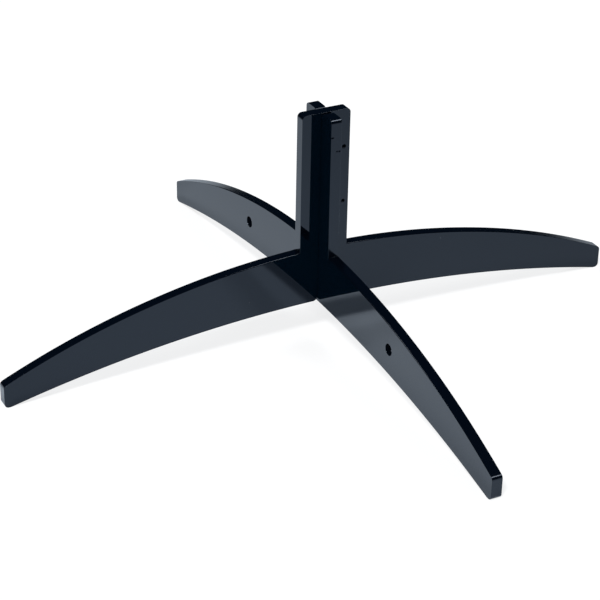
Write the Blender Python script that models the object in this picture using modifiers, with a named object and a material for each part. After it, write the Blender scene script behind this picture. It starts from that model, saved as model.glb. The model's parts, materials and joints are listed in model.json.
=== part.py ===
"""Flute stand: two gloss black plates that slot into each other as a half-lap cross.

Each plate is a single piece: a low arched leg with a stem rising from its middle.
The upper plate is slotted from below and the lower plate from above, so the upper
one drops over the lower one and lifts off it again. Their two stems form a post
with a cross section like a plus sign, which goes up into a flute's 19 mm bore.

X runs along the upper plate, Y along the lower plate and Z up. The origin is on the
ground under the crossing. An outline is drawn on a plate's face, with s along the
plate from its middle and z up from the ground, in millimetres like the named sizes.
"""
import math

import bmesh
import bpy
from mathutils import Vector

MM = 0.001

# Both plates
SPAN = 230.4
THICKNESS = 3.8
STEM_WIDTH = 17.8
STEM_TOP = 82.65
LEG_TOP_CROWN = 32.77
LEG_TOP_RADIUS = 280.0
UNDERSIDE_CROWN = 13.15
UNDERSIDE_RADIUS = 492.0

# Corners of the outline
STEM_CORNER_RADIUS = 1.5
STEM_ROOT_RADIUS = 0.3
FOOT_TOP_RADIUS = 1.8
FOOT_HEEL_RADIUS = 1.5
EDGE_RADIUS = 0.15          # the polished rims of both faces

# The half-lap joint
SLOT_SIDE_GAP = 0.25        # beside each face of the other plate
SLOT_END_GAP = 0.3          # between the ends of the two slots
SLOT_MOUTH_RADIUS = 1.5
SLOT_END_RADIUS = 0.5

# The holes through the lower plate's two legs, midway up the leg
HOLE_DIAMETER = 4.0
HOLE_DISTANCE = 51.0        # from the crossing

# Facets
LEG_STEPS = 22
CORNER_STEPS = 6
EDGE_SEGMENTS = 3
HOLE_SIDES = 48

# Finish of both plates
GLOSS_BLACK = (0.004, 0.005, 0.008, 1.0)
ROUGHNESS = 0.04
IOR = 1.49

HALF_SPAN = SPAN / 2
HALF_STEM = STEM_WIDTH / 2
HALF_SLOT = THICKNESS / 2 + SLOT_SIDE_GAP
SLOT_MEETING = (STEM_TOP + UNDERSIDE_CROWN) / 2
HEEL = math.sqrt(UNDERSIDE_RADIUS ** 2 - (UNDERSIDE_RADIUS - UNDERSIDE_CROWN) ** 2)

WELD_DISTANCE = 1e-6        # metres; joins a curve's caps to its sides
CAP_NORMAL = 0.99           # a face whose normal leans less than this is not a cap


def clear_scene():
    for thing in list(bpy.data.objects):
        bpy.data.objects.remove(thing, do_unlink=True)


def collection(name):
    group = bpy.data.collections.new(name)
    bpy.context.scene.collection.children.link(group)
    return group


def gloss_plastic(name):
    material = bpy.data.materials.new(name)
    material.use_nodes = True
    shader = material.node_tree.nodes["Principled BSDF"]
    shader.inputs["Base Color"].default_value = GLOSS_BLACK
    shader.inputs["Roughness"].default_value = ROUGHNESS
    shader.inputs["Metallic"].default_value = 0.0
    shader.inputs["IOR"].default_value = IOR
    material.diffuse_color = GLOSS_BLACK
    material.roughness = ROUGHNESS
    return material


def leg_top(s):
    """Height of the leg's upper arc."""
    return LEG_TOP_CROWN - LEG_TOP_RADIUS + math.sqrt(LEG_TOP_RADIUS ** 2 - s ** 2)


def underside(s):
    """Height of the leg's lower arc, which reaches the ground at HEEL."""
    return UNDERSIDE_CROWN - UNDERSIDE_RADIUS + math.sqrt(UNDERSIDE_RADIUS ** 2 - s ** 2)


def arch_corners(start):
    """The lower arc's points after start, as sharp corners, out to the ground."""
    step = (HEEL - start) / LEG_STEPS
    stations = [start + step * i for i in range(1, LEG_STEPS + 1)]
    return [(s, underside(s), 0.0) for s in stations]


def foot_corners():
    """The short flat that the foot stands on ends in the heel, and the tip is above it."""
    return [(HALF_SPAN, 0.0, FOOT_HEEL_RADIUS), (HALF_SPAN, leg_top(HALF_SPAN), FOOT_TOP_RADIUS)]


def crest_corners():
    """The upper arc's points between the foot's tip and the stem."""
    step = (HALF_SPAN - HALF_STEM) / LEG_STEPS
    stations = [HALF_SPAN - step * i for i in range(1, LEG_STEPS)]
    return [(s, leg_top(s), 0.0) for s in stations]


def stem_corners():
    """The stem's root on the leg and its outer corner at the top."""
    return [(HALF_STEM, leg_top(HALF_STEM), STEM_ROOT_RADIUS), (HALF_STEM, STEM_TOP, STEM_CORNER_RADIUS)]


def upper_half():
    """Right half of the upper plate, from its slot's end down and round to the top."""
    slot_end = SLOT_MEETING + SLOT_END_GAP / 2
    slot = [(HALF_SLOT, slot_end, SLOT_END_RADIUS), (HALF_SLOT, underside(HALF_SLOT), SLOT_MOUTH_RADIUS)]
    return slot + arch_corners(HALF_SLOT) + foot_corners() + crest_corners() + stem_corners()


def lower_half():
    """Right half of the lower plate, from under the crossing round to its slot's end."""
    slot_end = SLOT_MEETING - SLOT_END_GAP / 2
    slot = [(HALF_SLOT, STEM_TOP, SLOT_MOUTH_RADIUS), (HALF_SLOT, slot_end, SLOT_END_RADIUS)]
    middle = [(0.0, UNDERSIDE_CROWN, 0.0)]
    return middle + arch_corners(0.0) + foot_corners() + crest_corners() + stem_corners() + slot


def mirrored(half):
    """Closes a right half with its mirror image. A point on the middle is kept once."""
    return half + [(-s, z, radius) for s, z, radius in reversed(half) if s > 0]


def rounded(corners):
    """The closed outline, with each corner that has a radius turned into a tangent arc."""
    outline = []
    for i, (s, z, radius) in enumerate(corners):
        here = Vector((s, z))
        if radius == 0.0:
            outline.append(here)
            continue
        to_last = (Vector(corners[i - 1][:2]) - here).normalized()
        to_next = (Vector(corners[(i + 1) % len(corners)][:2]) - here).normalized()
        half_angle = to_last.angle(to_next) / 2
        centre = here + (to_last + to_next).normalized() * radius / math.sin(half_angle)
        tangent = radius / math.tan(half_angle)
        first = (here + to_last * tangent - centre).normalized()
        last = (here + to_next * tangent - centre).normalized()
        for k in range(CORNER_STEPS + 1):
            outline.append(centre + first.slerp(last, k / CORNER_STEPS) * radius)
    return outline


def outline_curve(name, outline):
    """A flat outline as a filled 2D curve of the plate's thickness."""
    data = bpy.data.curves.new(name, "CURVE")
    data.dimensions = "2D"
    data.fill_mode = "BOTH"
    data.extrude = THICKNESS / 2 * MM
    spline = data.splines.new("POLY")
    spline.points.add(len(outline) - 1)
    for point, place in zip(spline.points, outline):
        point.co = (place.x * MM, place.y * MM, 0.0, 1.0)
    spline.use_cyclic_u = True
    return bpy.data.objects.new(name, data)


def is_cap(face):
    return abs(face.normal.z) > CAP_NORMAL


def weld_and_mark_rims(mesh):
    """Welds the caps on, makes each cap one face, and marks the rims that are polished round."""
    bm = bmesh.new()
    bm.from_mesh(mesh)
    bmesh.ops.remove_doubles(bm, verts=bm.verts, dist=WELD_DISTANCE)
    bmesh.ops.dissolve_faces(bm, faces=[face for face in bm.faces if is_cap(face)])
    weight = bm.edges.layers.float.new("bevel_weight_edge")
    for edge in bm.edges:
        caps = [face for face in edge.link_faces if is_cap(face)]
        edge[weight] = 1.0 if len(caps) == 1 else 0.0
    bm.to_mesh(mesh)
    bm.free()


def curve_to_mesh(curve_object, group):
    """Replaces the outline curve by a mesh object of the same name."""
    group.objects.link(curve_object)
    bpy.context.view_layer.update()
    evaluated = curve_object.evaluated_get(bpy.context.evaluated_depsgraph_get())
    mesh = bpy.data.meshes.new_from_object(evaluated)
    name = curve_object.name
    placing = curve_object.matrix_world.copy()
    bpy.data.objects.remove(curve_object, do_unlink=True)
    mesh.name = name
    thing = bpy.data.objects.new(name, mesh)
    thing.matrix_world = placing
    group.objects.link(thing)
    return thing


def polish_rims(thing):
    bevel = thing.modifiers.new("polished_rims", "BEVEL")
    bevel.limit_method = "WEIGHT"
    bevel.width = EDGE_RADIUS * MM
    bevel.segments = EDGE_SEGMENTS
    bevel.use_clamp_overlap = False


def plate(name, half, heading, group, material):
    """A plate that stands on edge, heading this far round from the X axis."""
    curve_object = outline_curve(name, rounded(mirrored(half)))
    curve_object.rotation_euler = (math.radians(90.0), 0.0, math.radians(heading))
    thing = curve_to_mesh(curve_object, group)
    weld_and_mark_rims(thing.data)
    polish_rims(thing)
    thing.data.materials.append(material)
    thing.data.shade_smooth()
    thing.data.set_sharp_from_angle(angle=math.radians(30.0))
    return thing


def drill(thing, distance, cutters):
    """Cuts a hole through the lower plate's leg, midway between its two arcs."""
    height = (leg_top(abs(distance)) + underside(abs(distance))) / 2
    bpy.ops.mesh.primitive_cylinder_add(
        vertices=HOLE_SIDES,
        radius=HOLE_DIAMETER / 2 * MM,
        depth=THICKNESS * 2 * MM,
        location=(0.0, distance * MM, height * MM),
        rotation=(0.0, math.radians(90.0), 0.0),
    )
    drill_bit = bpy.context.object
    drill_bit.name = "hole_cutter"
    drill_bit.hide_render = True
    drill_bit.display_type = "WIRE"
    for owner in list(drill_bit.users_collection):
        owner.objects.unlink(drill_bit)
    cutters.objects.link(drill_bit)
    cut = thing.modifiers.new("hole", "BOOLEAN")
    cut.operation = "DIFFERENCE"
    cut.solver = "EXACT"
    cut.object = drill_bit


def build():
    clear_scene()
    stand = collection("flute_stand")
    cutters = collection("cutters")
    plate("upper_plate", upper_half(), 0.0, stand, gloss_plastic("upper_plate_gloss_black"))
    lower = plate("lower_plate", lower_half(), 90.0, stand, gloss_plastic("lower_plate_gloss_black"))
    for distance in (-HOLE_DISTANCE, HOLE_DISTANCE):
        drill(lower, distance, cutters)


build()
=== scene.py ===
"""Flute stand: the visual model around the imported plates, with its studio and camera.

Both plates are rebuilt finer than their solids, from the same sizes, with polished rims,
eased hole rims and two small pits. Three small scuffs are in the lower plate's material.
Sizes are in millimetres on a plate's face: s along the plate from its middle, z up from
the ground. The scene itself is in metres.
"""

import json
import math

import bpy
from mathutils import Matrix, Vector, geometry

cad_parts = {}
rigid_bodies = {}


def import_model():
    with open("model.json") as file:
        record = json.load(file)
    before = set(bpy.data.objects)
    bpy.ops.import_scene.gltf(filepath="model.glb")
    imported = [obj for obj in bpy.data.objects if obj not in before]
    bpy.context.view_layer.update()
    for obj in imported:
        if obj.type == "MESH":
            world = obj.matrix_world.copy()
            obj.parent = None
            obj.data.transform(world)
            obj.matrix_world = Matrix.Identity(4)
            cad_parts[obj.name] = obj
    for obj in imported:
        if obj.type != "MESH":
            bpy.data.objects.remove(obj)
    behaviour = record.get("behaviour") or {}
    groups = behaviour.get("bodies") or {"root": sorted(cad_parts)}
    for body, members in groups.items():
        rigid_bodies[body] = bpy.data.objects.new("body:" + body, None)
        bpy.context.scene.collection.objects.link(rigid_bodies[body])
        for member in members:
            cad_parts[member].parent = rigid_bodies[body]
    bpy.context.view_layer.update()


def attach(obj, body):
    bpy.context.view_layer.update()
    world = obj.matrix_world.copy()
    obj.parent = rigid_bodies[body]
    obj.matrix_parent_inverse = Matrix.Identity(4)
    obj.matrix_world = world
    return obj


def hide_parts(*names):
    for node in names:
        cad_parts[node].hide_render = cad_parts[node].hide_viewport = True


for leftover in list(bpy.data.objects):
    bpy.data.objects.remove(leftover, do_unlink=True)

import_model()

MM = 0.001

# Both plates
SPAN = 230.4
THICKNESS = 3.8
STEM_WIDTH = 17.8
STEM_TOP = 82.65
LEG_TOP_CROWN = 32.77
LEG_TOP_RADIUS = 280.0
UNDERSIDE_CROWN = 13.15
UNDERSIDE_RADIUS = 492.0

# Corners of the outline
STEM_CORNER_RADIUS = 1.5
STEM_ROOT_RADIUS = 0.03
FOOT_TOP_RADIUS = 1.5
FOOT_HEEL_RADIUS = 1.5
FOOT_FLAT_RADIUS = 2.0      # where the arch runs into the flat that the foot stands on
RIM_RADIUS = 0.08           # the polished rims of both faces
CREST_RIM_RADIUS = 0.32     # rounder along the inner half of the legs' tops
CREST_FULL = (10.4, 60.0)   # how far out from the middle they are that round
CREST_OUTER_END = 90.0      # where they have become fine again

# The half-lap joint
UPPER_SLOT_GAP = 0.05       # beside each face of the other plate
LOWER_SLOT_GAP = 0.15
SLOT_END_GAP = 0.3          # between the ends of the two slots
SLOT_MOUTH_RADIUS = 1.5
SLOT_END_RADIUS = 0.5

# The holes through the lower plate's legs, and the pits in the upper plate's near face
HOLE_DIAMETER = 4.0
HOLE_DISTANCE = 51.0
HOLE_EDGE_RADIUS = 0.15
PITS = ((6.75, 69.2, 0.85), (6.95, 49.2, 0.75))     # s, z and radius of each
PIT_DEPTH = 1.0

# Fineness of the meshes
LEG_STEPS = 96
CORNER_STEPS = 12
RIM_STEPS = 5
HOLE_SIDES = 64
PIT_SIDES = 32
PIT_RINGS = 8

HALF_SPAN = SPAN / 2
HALF_STEM = STEM_WIDTH / 2
SLOT_MEETING = (STEM_TOP + UNDERSIDE_CROWN) / 2
HEEL = math.sqrt(UNDERSIDE_RADIUS ** 2 - (UNDERSIDE_RADIUS - UNDERSIDE_CROWN) ** 2)

# A ramp, here and below, is two values of its input and then what it gives at each.
# The scales of the acrylic's patterns are per metre, and their heights are in metres.

# The acrylic: black, mirror smooth, and a little bluish where it reflects
BLACK = (0.0003, 0.0012, 0.0029, 1.0)
BLACK_CLOUDED = (0.0006, 0.0015, 0.0034, 1.0)
REFLECTION_TINT = (0.585, 0.675, 0.81, 1.0)
SPECULAR_LEVEL = 0.5
IOR = 1.49
UPPER_SHIFT = (3.1, 2.17, 0.0)      # moves the patterns, so that the two plates differ
LOWER_SHIFT = (7.9, 5.53, 0.0)
CLOUD_SCALE = 28.0
WAVE_SCALE = 45.0
WAVE_HEIGHT = 0.00003
SMEAR_SCALE = (60.0, 60.0, 240.0)
SMEAR_TURN = (0.3, 0.5, 0.2)
SMEAR_RAMP = (0.35, 0.75, 0.022, 0.045)     # gives the roughness of the faces
WALL_ROUGHNESS = 0.12               # added on the cut edges
SCRATCH_SCALE = (90.0, 90.0, 5200.0)
SCRATCH_TURN = (0.5, 0.35, 0.0)
SCRATCH_RAMP = (0.66, 0.74, 0.0, 1.0)
SCRATCH_ROUGHNESS = 0.03
SCRATCH_STRENGTH = 0.15
SCRATCH_HEIGHT = 0.000002
SPECK_SCALE = 230.0
SPECK_RAMP = (0.03, 0.07, 1.0, 0.0)
CHOICE_SCALE = 95.0                 # of the pattern that chooses some of the specks
CHOICE_RAMP = (0.60, 0.66, 0.0, 1.0)
DUST_COLOUR = (0.16, 0.17, 0.18, 1.0)
DUST_COVER = 0.35
DUST_ROUGHNESS = 0.4

# Scuffs on the near end of the lower plate's stem, each with its x, z and half length
SCUFFS = ((-1.45, 76.4, 0.7), (0.3, 71.4, 0.35), (1.2, 71.3, 0.5))
SCUFF_HALF_HEIGHT = 0.36
SCUFF_RAMP = (0.6, 1.1, 1.0, 0.0)
SCUFF_DIMMING = 0.48                # taken off the specular level

# Camera, in metres and degrees
CAMERA_AZIMUTH = -27.8186
CAMERA_ELEVATION = 28.6751
CAMERA_ROLL = 1.1415
CAMERA_DISTANCE = 0.68618
CAMERA_PIVOT = Vector((0.0, 0.0, 0.034485))
CAMERA_OFFSET = (-0.00706, -0.01982)
CAMERA_LENS = 121.79

# The lamps: the direction towards each, its strength and its size in degrees
KEY_TOWARDS = (-0.475, -0.42, 0.77)
KEY_STRENGTH = 2.5
KEY_ANGLE = 9.0
FILL_TOWARDS = (0.38, -0.32, 0.87)
FILL_STRENGTH = 0.85
FILL_ANGLE = 18.0
BACK_TOWARDS = (-0.45, 0.40, 0.80)
BACK_STRENGTH = 0.7
BACK_ANGLE = 20.0

# The room and the floor, in metres
WHITE = (1.0, 1.0, 1.0, 1.0)
AMBIENT = (0.12, 0.155, 0.20, 1.0)
FLOOR_SIZE = 24.0
FLOOR_COLOUR = (0.8, 0.8, 0.8, 1.0)
FLOOR_ROUGHNESS = 0.9
FLOOR_SEEN = (0.22, 0.22, 0.22, 1.0)
FLOOR_GLOW = 0.8                    # light that only the camera sees, besides the lit floor

# What the plates mirror: a dark ceiling, and a floor whose colour for reflections is painted light: a
# bluish white, with a painted pool of light around the stand and painted shade farther out and behind it
CEILING = (0.009, 0.026, 0.058, 1.0)
CEILING_LOW = (0.0035, 0.0083, 0.0160, 1.0)
CEILING_RAMP = (0.1, 0.8, 0.0, 1.0)         # over the upward part of a direction
FLOOR_MIRRORED = (0.80, 0.88, 0.965, 1.0)
# Painted shade in double reflections: the floor seen after two mirrors is painted darker and bluer
FLOOR_MIRRORED_TWICE = (0.04, 0.42, 0.68, 1.0)
TWICE_DEPTH = 1.5                   # a glossy depth above this has met two mirrors
# Painted pool of light on the mirrored floor, brightest around the stand
POOL_CENTRE = (-0.05, -0.05, 0.0)
POOL_RAMP = (0.04, 0.18, 1.18, 0.9)
# Painted shade on the mirrored floor farther out
FAR_RAMP = (0.25, 0.9, 1.0, 0.2)
# Painted shade on the mirrored floor behind the stand
BEHIND_TOWARDS = (0.6, 0.8, 0.0)
BEHIND_RAMP = (0.09, 0.12, 1.0, 0.55)


# Outlines. A loop is a list of (point, outward normal), walked with the plate on its left.

def leg_top(s):
    return LEG_TOP_CROWN - LEG_TOP_RADIUS + math.sqrt(LEG_TOP_RADIUS ** 2 - s ** 2)


def underside(s):
    return UNDERSIDE_CROWN - UNDERSIDE_RADIUS + math.sqrt(UNDERSIDE_RADIUS ** 2 - s ** 2)


def arch_corners(start):
    """The lower arc's points after start, out to the flat that the foot stands on."""
    step = (HEEL - start) / LEG_STEPS
    stations = [start + step * i for i in range(1, LEG_STEPS)]
    return [(s, underside(s), 0.0) for s in stations] + [(HEEL, 0.0, FOOT_FLAT_RADIUS)]


def foot_corners():
    return [(HALF_SPAN, 0.0, FOOT_HEEL_RADIUS), (HALF_SPAN, leg_top(HALF_SPAN), FOOT_TOP_RADIUS)]


def crest_corners():
    """The upper arc's points between the foot's tip and the stem."""
    step = (HALF_SPAN - HALF_STEM) / LEG_STEPS
    stations = [HALF_SPAN - step * i for i in range(2, LEG_STEPS)]
    return [(s, leg_top(s), 0.0) for s in stations]


def stem_corners():
    return [(HALF_STEM, leg_top(HALF_STEM), STEM_ROOT_RADIUS), (HALF_STEM, STEM_TOP, STEM_CORNER_RADIUS)]


def upper_half():
    """Right half of the upper plate, from its slot's end down and round to the top."""
    slot_side = THICKNESS / 2 + UPPER_SLOT_GAP
    slot_end = SLOT_MEETING + SLOT_END_GAP / 2
    slot = [(slot_side, slot_end, SLOT_END_RADIUS), (slot_side, underside(slot_side), SLOT_MOUTH_RADIUS)]
    first_step = slot_side + SLOT_MOUTH_RADIUS
    return slot + arch_corners(first_step) + foot_corners() + crest_corners() + stem_corners()


def lower_half():
    """Right half of the lower plate, from under the crossing round to its slot's end."""
    slot_side = THICKNESS / 2 + LOWER_SLOT_GAP
    slot_end = SLOT_MEETING - SLOT_END_GAP / 2
    slot = [(slot_side, STEM_TOP, SLOT_MOUTH_RADIUS), (slot_side, slot_end, SLOT_END_RADIUS)]
    middle = [(0.0, UNDERSIDE_CROWN, 0.0)]
    return middle + arch_corners(0.0) + foot_corners() + crest_corners() + stem_corners() + slot


def mirrored(half):
    return half + [(-s, z, radius) for s, z, radius in reversed(half) if s > 0]


def corner_arc(before, here, after, radius):
    """A corner as a tangent arc, with the normals pointing out of the plate."""
    to_last = (before - here).normalized()
    to_next = (after - here).normalized()
    half_angle = to_last.angle(to_next) / 2
    centre = here + (to_last + to_next).normalized() * radius / math.sin(half_angle)
    tangent = radius / math.tan(half_angle)
    first = (here + to_last * tangent - centre).normalized()
    last = (here + to_next * tangent - centre).normalized()
    turns_left = to_last.cross(to_next) < 0
    points = []
    for k in range(CORNER_STEPS + 1):
        spoke = first.slerp(last, k / CORNER_STEPS)
        points.append((centre + spoke * radius, spoke if turns_left else -spoke))
    return points


def outline_loop(corners):
    """The closed outline of a plate: corners with a radius as arcs, the rest as they are."""
    loop = []
    for i, (s, z, radius) in enumerate(corners):
        before = Vector(corners[i - 1][:2])
        here = Vector((s, z))
        after = Vector(corners[(i + 1) % len(corners)][:2])
        if radius > 0:
            loop.extend(corner_arc(before, here, after, radius))
        else:
            along = (after - before).normalized()
            loop.append((here, Vector((along.y, -along.x))))
    return loop


def hole_loop(s, z, radius, sides):
    """A round hole, walked clockwise so that the plate is on its left."""
    loop = []
    for k in range(sides):
        angle = -2 * math.pi * k / sides
        spoke = Vector((math.cos(angle), math.sin(angle)))
        loop.append((Vector((s, z)) + spoke * radius, -spoke))
    return loop


def share_between(value, low, high):
    """0 at low, 1 at high, and no more beyond. Low may be the greater of the two."""
    return min(max((value - low) / (high - low), 0), 1)


def plate_rim(point):
    """Radius of a plate's rims at a point of its outline."""
    crest = leg_top(point.x)
    middle = (crest + underside(point.x)) / 2
    share = share_between(point.y, middle, crest)
    share *= share_between(abs(point.x), HALF_STEM, CREST_FULL[0])
    share *= share_between(abs(point.x), CREST_OUTER_END, CREST_FULL[1])
    return RIM_RADIUS + (CREST_RIM_RADIUS - RIM_RADIUS) * share


def hole_rim(point):
    """Radius of a hole's rims, the same at every point."""
    return HOLE_EDGE_RADIUS


class PlateMesh:
    """Gathers a plate's vertices, normals and faces. Depth runs from the near face to the far one."""

    def __init__(self):
        self.places = []
        self.normals = []
        self.walls = []
        self.faces = []

    def vertex(self, point, depth, normal, wall):
        self.places.append(Vector((point.x, depth, point.y)) * MM)
        self.normals.append(normal.normalized())
        self.walls.append(wall)
        return len(self.places) - 1

    def band(self, first, second):
        """Quads between two rings of vertices, facing out when second is nearer the far face."""
        count = len(first)
        for i in range(count):
            j = (i + 1) % count
            self.faces.append((first[i], second[i], second[j], first[j]))

    def edge(self, loop, rim_radius):
        """The wall along a loop with its two rounded rims. Returns the near and far rings."""
        quarter = [math.pi / 2 * k / RIM_STEPS for k in range(RIM_STEPS + 1)]
        stations = [(-1, angle) for angle in reversed(quarter)] + [(1, angle) for angle in quarter]
        rings = []
        for side, angle in stations:
            ring = []
            for point, outward in loop:
                rim = rim_radius(point)
                inset = rim * (1 - math.cos(angle))
                depth = side * (THICKNESS / 2 - rim * (1 - math.sin(angle)))
                normal = Vector((outward.x, 0, outward.y)) * math.cos(angle)
                normal.y = side * math.sin(angle)
                ring.append(self.vertex(point - outward * inset, depth, normal, math.cos(angle)))
            rings.append(ring)
        for first, second in zip(rings, rings[1:]):
            self.band(first, second)
        return rings[0], rings[-1]

    def pit(self, s, z, pit_radius):
        """A small smooth dimple in the near face. Returns its outer ring."""
        rings = []
        for ring_number in range(PIT_RINGS):
            radius = pit_radius * (1 - ring_number / PIT_RINGS)
            phase = math.pi * radius / pit_radius
            depth = PIT_DEPTH * (1 + math.cos(phase)) / 2
            slope = PIT_DEPTH * math.pi / (2 * pit_radius) * math.sin(phase)
            ring = []
            for point, inward in hole_loop(s, z, radius, PIT_SIDES):
                normal = Vector((inward.x * slope, -1, inward.y * slope))
                ring.append(self.vertex(point, -THICKNESS / 2 + depth, normal, 0.0))
            rings.append(ring)
        for first, second in zip(rings, rings[1:]):
            self.band(first, second)
        bottom = self.vertex(Vector((s, z)), -THICKNESS / 2 + PIT_DEPTH, Vector((0, -1, 0)), 0.0)
        last = rings[-1]
        for i in range(PIT_SIDES):
            self.faces.append((last[i], bottom, last[(i + 1) % PIT_SIDES]))
        return rings[0]

    def cap(self, rings, towards):
        """Fills a face of the plate between its outer ring and the rings of its holes."""
        flat = [[Vector((self.places[v].x, self.places[v].z, 0)) for v in ring] for ring in rings]
        vertices = [v for ring in rings for v in ring]
        for triangle in geometry.tessellate_polygon(flat):
            a, b, c = (self.places[vertices[k]] for k in triangle)
            normal = (b - a).cross(c - a)
            order = triangle if normal.y * towards > 0 else tuple(reversed(triangle))
            if normal.length > 0:
                self.faces.append(tuple(vertices[k] for k in order))

    def finished(self, name):
        mesh = bpy.data.meshes.new(name)
        mesh.from_pydata(self.places, [], self.faces)
        mesh.validate()
        mesh.shade_smooth()
        wall = mesh.attributes.new("wall", "FLOAT", "POINT")
        wall.data.foreach_set("value", self.walls)
        mesh.normals_split_custom_set_from_vertices(self.normals)
        return mesh


def plate_mesh(name, half, holes, pits):
    """One plate, standing on edge along X, with its near face towards -Y."""
    plate = PlateMesh()
    near, far = plate.edge(outline_loop(mirrored(half)), plate_rim)
    near_rings, far_rings = [near], [far]
    for s, z in holes:
        near, far = plate.edge(hole_loop(s, z, HOLE_DIAMETER / 2, HOLE_SIDES), hole_rim)
        near_rings.append(near)
        far_rings.append(far)
    for s, z, pit_radius in pits:
        near_rings.append(plate.pit(s, z, pit_radius))
    plate.cap(near_rings, -1)
    plate.cap(far_rings, 1)
    return plate.finished(name)


# Material

class Nodes:
    """Short ways to make the nodes of one tree."""

    def __init__(self, tree):
        self.tree = tree

    def make(self, kind, **inputs):
        node = self.tree.nodes.new(kind)
        for name, value in inputs.items():
            self.feed(node, name.replace("_", " "), value)
        return node

    def feed(self, node, name, value):
        socket = node.inputs[name]
        if isinstance(value, bpy.types.NodeSocket):
            self.tree.links.new(value, socket)
        else:
            socket.default_value = value

    def math(self, operation, *values):
        node = self.tree.nodes.new("ShaderNodeMath")
        node.operation = operation
        for k, value in enumerate(values):
            self.feed(node, k, value)
        return node.outputs[0]

    def vector_math(self, operation, first, second):
        node = self.tree.nodes.new("ShaderNodeVectorMath")
        node.operation = operation
        self.feed(node, 0, first)
        self.feed(node, 1, second)
        return node.outputs["Value"]

    def vector_scale(self, vector, factor):
        node = self.tree.nodes.new("ShaderNodeVectorMath")
        node.operation = "SCALE"
        self.feed(node, 0, vector)
        self.feed(node, "Scale", factor)
        return node.outputs["Vector"]

    def ramp(self, value, low, high, to_low, to_high):
        """Runs from to_low at low to to_high at high, and keeps those values beyond."""
        node = self.make("ShaderNodeMapRange", Value=value)
        self.feed(node, "From Min", low)
        self.feed(node, "From Max", high)
        self.feed(node, "To Min", to_low)
        self.feed(node, "To Max", to_high)
        return node.outputs["Result"]

    def colour_mix(self, factor, first, second):
        node = self.tree.nodes.new("ShaderNodeMix")
        node.data_type = "RGBA"
        self.feed(node, 0, factor)
        self.feed(node, 6, first)
        self.feed(node, 7, second)
        return node.outputs[2]

    def noise(self, vector, scale, detail, roughness=0.5):
        node = self.make("ShaderNodeTexNoise", Vector=vector, Scale=scale, Detail=detail)
        self.feed(node, "Roughness", roughness)
        return node.outputs["Fac"]

    def stretched(self, vector, scale, turn=(0.0, 0.0, 0.0)):
        node = self.make("ShaderNodeMapping", Vector=vector, Scale=scale, Rotation=turn)
        return node.outputs["Vector"]


def face_polish(nodes, where):
    """Roughness of the faces, a little higher where they were wiped."""
    wiped = nodes.stretched(where, SMEAR_SCALE, SMEAR_TURN)
    smears = nodes.noise(wiped, scale=1.0, detail=4.0, roughness=0.6)
    return nodes.ramp(smears, *SMEAR_RAMP)


def hairline_scratches(nodes, where):
    """1 in thin, nearly straight scratches, 0 between them."""
    drawn = nodes.stretched(where, SCRATCH_SCALE, SCRATCH_TURN)
    lines = nodes.noise(drawn, scale=1.0, detail=2.0)
    return nodes.ramp(lines, *SCRATCH_RAMP)


def dust_specks(nodes, where):
    """1 on small specks, 0 around them. Most cells of the pattern have none."""
    cells = nodes.make("ShaderNodeTexVoronoi", Vector=where, Scale=SPECK_SCALE)
    speck = nodes.ramp(cells.outputs["Distance"], *SPECK_RAMP)
    chosen = nodes.ramp(nodes.noise(where, CHOICE_SCALE, detail=1.0), *CHOICE_RAMP)
    return nodes.math("MULTIPLY", speck, chosen)


def scuff_mask(nodes, where, x, z, half_length):
    """1 on a short level scuff in the near end of the lower plate's stem, 0 around it."""
    centre = (x / half_length, -HALF_STEM, z / SCUFF_HALF_HEIGHT)
    scale = Vector((1 / half_length, 1.0, 1 / SCUFF_HALF_HEIGHT)) / MM
    distance = nodes.vector_math("DISTANCE", nodes.stretched(where, scale), centre)
    return nodes.ramp(distance, *SCUFF_RAMP)


def specular_level(nodes, where, scuffs):
    """The level of the whole plate, less in its scuffs."""
    level = SPECULAR_LEVEL
    for scuff in scuffs:
        level = nodes.math("MULTIPLY_ADD", scuff_mask(nodes, where, *scuff), -SCUFF_DIMMING, level)
    return level


def gloss_acrylic(name, shift, scuffs):
    """Polished black acrylic: faint waves, wipe marks, hairline scratches and some dust."""
    material = bpy.data.materials.new(name)
    material.use_nodes = True
    nodes = Nodes(material.node_tree)
    shader = material.node_tree.nodes["Principled BSDF"]
    where = nodes.make("ShaderNodeTexCoord").outputs["Object"]
    shifted = nodes.make("ShaderNodeMapping", Vector=where, Location=shift).outputs["Vector"]
    scratch = hairline_scratches(nodes, shifted)
    dust = dust_specks(nodes, shifted)

    clouds = nodes.noise(shifted, CLOUD_SCALE, detail=3.0)
    black = nodes.colour_mix(clouds, BLACK, BLACK_CLOUDED)
    cover = nodes.math("MULTIPLY", dust, DUST_COVER)
    nodes.feed(shader, "Base Color", nodes.colour_mix(cover, black, DUST_COLOUR))

    wall = nodes.make("ShaderNodeAttribute")
    wall.attribute_name = "wall"
    roughness = face_polish(nodes, shifted)
    roughness = nodes.math("MULTIPLY_ADD", wall.outputs["Fac"], WALL_ROUGHNESS, roughness)
    roughness = nodes.math("MULTIPLY_ADD", scratch, SCRATCH_ROUGHNESS, roughness)
    roughness = nodes.math("MULTIPLY_ADD", dust, DUST_ROUGHNESS, roughness)
    nodes.feed(shader, "Roughness", roughness)

    waves = nodes.noise(shifted, WAVE_SCALE, detail=1.0)
    wavy = nodes.make("ShaderNodeBump", Height=waves, Strength=1.0, Distance=WAVE_HEIGHT)
    scratched = nodes.make("ShaderNodeBump", Height=scratch, Strength=SCRATCH_STRENGTH)
    nodes.feed(scratched, "Distance", SCRATCH_HEIGHT)
    nodes.feed(scratched, "Normal", wavy.outputs["Normal"])
    nodes.feed(shader, "Normal", scratched.outputs["Normal"])

    nodes.feed(shader, "Specular IOR Level", specular_level(nodes, where, scuffs))
    shader.inputs["Specular Tint"].default_value = REFLECTION_TINT
    shader.inputs["IOR"].default_value = IOR
    shader.inputs["Metallic"].default_value = 0.0
    return material


# The two plates

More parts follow.
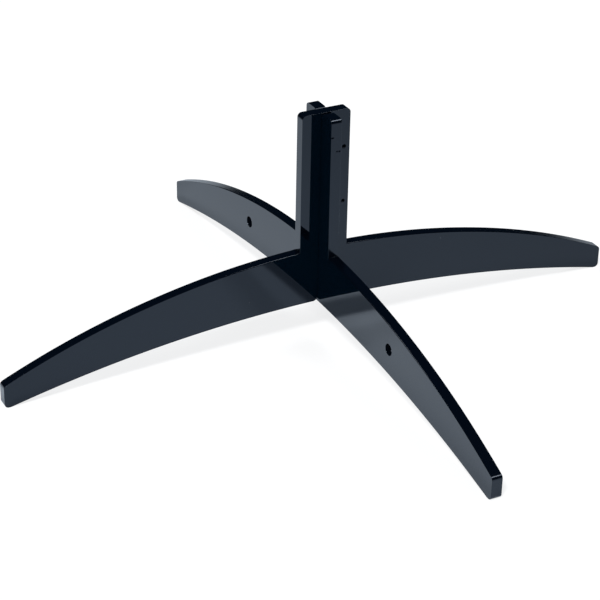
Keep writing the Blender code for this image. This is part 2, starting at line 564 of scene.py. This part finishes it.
def add_piece(name, mesh, heading, body, shift, scuffs):
    """Puts a plate in the place of its solid, turned to its heading in degrees."""
    piece = bpy.data.objects.new(name, mesh)
    bpy.context.scene.collection.objects.link(piece)
    mesh.transform(Matrix.Rotation(math.radians(heading), 4, "Z"))
    mesh.materials.append(gloss_acrylic(name + "_black", shift, scuffs))
    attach(piece, body)
    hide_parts(body)


hole_height = (leg_top(HOLE_DISTANCE) + underside(HOLE_DISTANCE)) / 2
lower_holes = [(-HOLE_DISTANCE, hole_height), (HOLE_DISTANCE, hole_height)]
upper_mesh = plate_mesh("upper_plate_acrylic", upper_half(), [], PITS)
lower_mesh = plate_mesh("lower_plate_acrylic", lower_half(), lower_holes, [])
add_piece("upper_plate_acrylic", upper_mesh, 0.0, "upper_plate", UPPER_SHIFT, [])
add_piece("lower_plate_acrylic", lower_mesh, -90.0, "lower_plate", LOWER_SHIFT, SCUFFS)


# Studio

def seen_by(nodes, *rays):
    """1 for the named kinds of ray, 0 for the others."""
    path = nodes.make("ShaderNodeLightPath")
    total = path.outputs[rays[0]]
    for ray in rays[1:]:
        total = nodes.math("MAXIMUM", total, path.outputs[ray])
    return total


def make_world():
    """White to the camera. Reflections see a dark ceiling, darkest near the horizon."""
    world = bpy.data.worlds.new("studio")
    world.use_nodes = True
    bpy.context.scene.world = world
    nodes = Nodes(world.node_tree)
    direction = nodes.make("ShaderNodeTexCoord").outputs["Generated"]
    height = nodes.make("ShaderNodeSeparateXYZ", Vector=direction).outputs["Z"]
    ceiling = nodes.colour_mix(nodes.ramp(height, *CEILING_RAMP), CEILING_LOW, CEILING)
    seen = nodes.colour_mix(seen_by(nodes, "Is Glossy Ray", "Is Transmission Ray"), AMBIENT, ceiling)
    seen = nodes.colour_mix(seen_by(nodes, "Is Camera Ray"), seen, WHITE)
    nodes.feed(world.node_tree.nodes["Background"], "Color", seen)


def make_floor():
    """A large white floor. Reflections see painted light on it: a painted pool of light around the
    stand, painted shade farther out and behind it, and painted darker shade where it is mirrored twice.
    """
    half = FLOOR_SIZE / 2
    mesh = bpy.data.meshes.new("floor")
    corners = [(-half, -half, 0.0), (half, -half, 0.0), (half, half, 0.0), (-half, half, 0.0)]
    mesh.from_pydata(corners, [], [(0, 1, 2, 3)])
    floor = bpy.data.objects.new("floor", mesh)
    bpy.context.scene.collection.objects.link(floor)
    material = bpy.data.materials.new("floor_white")
    material.use_nodes = True
    nodes = Nodes(material.node_tree)
    shader = material.node_tree.nodes["Principled BSDF"]
    where = nodes.make("ShaderNodeTexCoord").outputs["Object"]
    distance = nodes.vector_math("DISTANCE", where, POOL_CENTRE)
    along = nodes.vector_math("DOT_PRODUCT", where, BEHIND_TOWARDS)
    # Painted pool of light and painted shade in the floor's colour, which only reflections see
    painted_light = nodes.math("MULTIPLY", nodes.ramp(distance, *POOL_RAMP), nodes.ramp(distance, *FAR_RAMP))
    painted_light = nodes.math("MULTIPLY", painted_light, nodes.ramp(along, *BEHIND_RAMP))
    # Painted shade: after two mirrors the floor's colour is painted darker and bluer
    depth = nodes.make("ShaderNodeLightPath").outputs["Glossy Depth"]
    twice = nodes.math("GREATER_THAN", depth, TWICE_DEPTH)
    mirrored = nodes.colour_mix(twice, FLOOR_MIRRORED, FLOOR_MIRRORED_TWICE)
    mirrored = nodes.vector_scale(mirrored, painted_light)
    colour = nodes.colour_mix(seen_by(nodes, "Is Camera Ray"), FLOOR_COLOUR, FLOOR_SEEN)
    colour = nodes.colour_mix(seen_by(nodes, "Is Glossy Ray", "Is Transmission Ray"), colour, mirrored)
    nodes.feed(shader, "Base Color", colour)
    shader.inputs["Roughness"].default_value = FLOOR_ROUGHNESS
    shader.inputs["Specular IOR Level"].default_value = 0.0
    shader.inputs["Emission Color"].default_value = WHITE
    glow = nodes.math("MULTIPLY", seen_by(nodes, "Is Camera Ray"), FLOOR_GLOW)
    nodes.feed(shader, "Emission Strength", glow)
    mesh.materials.append(material)


def add_sun(name, towards, strength, angle):
    """A distant soft lamp, whose size is given as an angle."""
    data = bpy.data.lights.new(name, "SUN")
    data.energy = strength
    data.angle = math.radians(angle)
    lamp = bpy.data.objects.new(name, data)
    lamp.rotation_mode = "QUATERNION"
    lamp.rotation_quaternion = Vector(towards).to_track_quat("Z", "Y")
    bpy.context.scene.collection.objects.link(lamp)


def add_camera():
    """Faces the pivot, then is moved a little sideways and down without turning."""
    azimuth = math.radians(CAMERA_AZIMUTH)
    elevation = math.radians(CAMERA_ELEVATION)
    roll = math.radians(CAMERA_ROLL)
    back = Vector((
        math.sin(azimuth) * math.cos(elevation),
        -math.cos(azimuth) * math.cos(elevation),
        math.sin(elevation),
    ))
    level_right = Vector((math.cos(azimuth), math.sin(azimuth), 0.0))
    level_up = back.cross(level_right)
    right = level_right * math.cos(roll) + level_up * math.sin(roll)
    up = level_up * math.cos(roll) - level_right * math.sin(roll)
    place = CAMERA_PIVOT + back * CAMERA_DISTANCE + right * CAMERA_OFFSET[0] + up * CAMERA_OFFSET[1]
    data = bpy.data.cameras.new("camera")
    data.lens = CAMERA_LENS
    data.clip_start = 0.01
    data.clip_end = 100.0
    camera = bpy.data.objects.new("camera", data)
    camera.matrix_world = Matrix.Translation(place) @ Matrix((right, up, back)).transposed().to_4x4()
    bpy.context.scene.collection.objects.link(camera)
    bpy.context.scene.camera = camera


make_world()
make_floor()
add_sun("key", KEY_TOWARDS, KEY_STRENGTH, KEY_ANGLE)
add_sun("fill", FILL_TOWARDS, FILL_STRENGTH, FILL_ANGLE)
add_sun("back", BACK_TOWARDS, BACK_STRENGTH, BACK_ANGLE)
add_camera()
bpy.context.scene.view_settings.view_transform = "Standard"
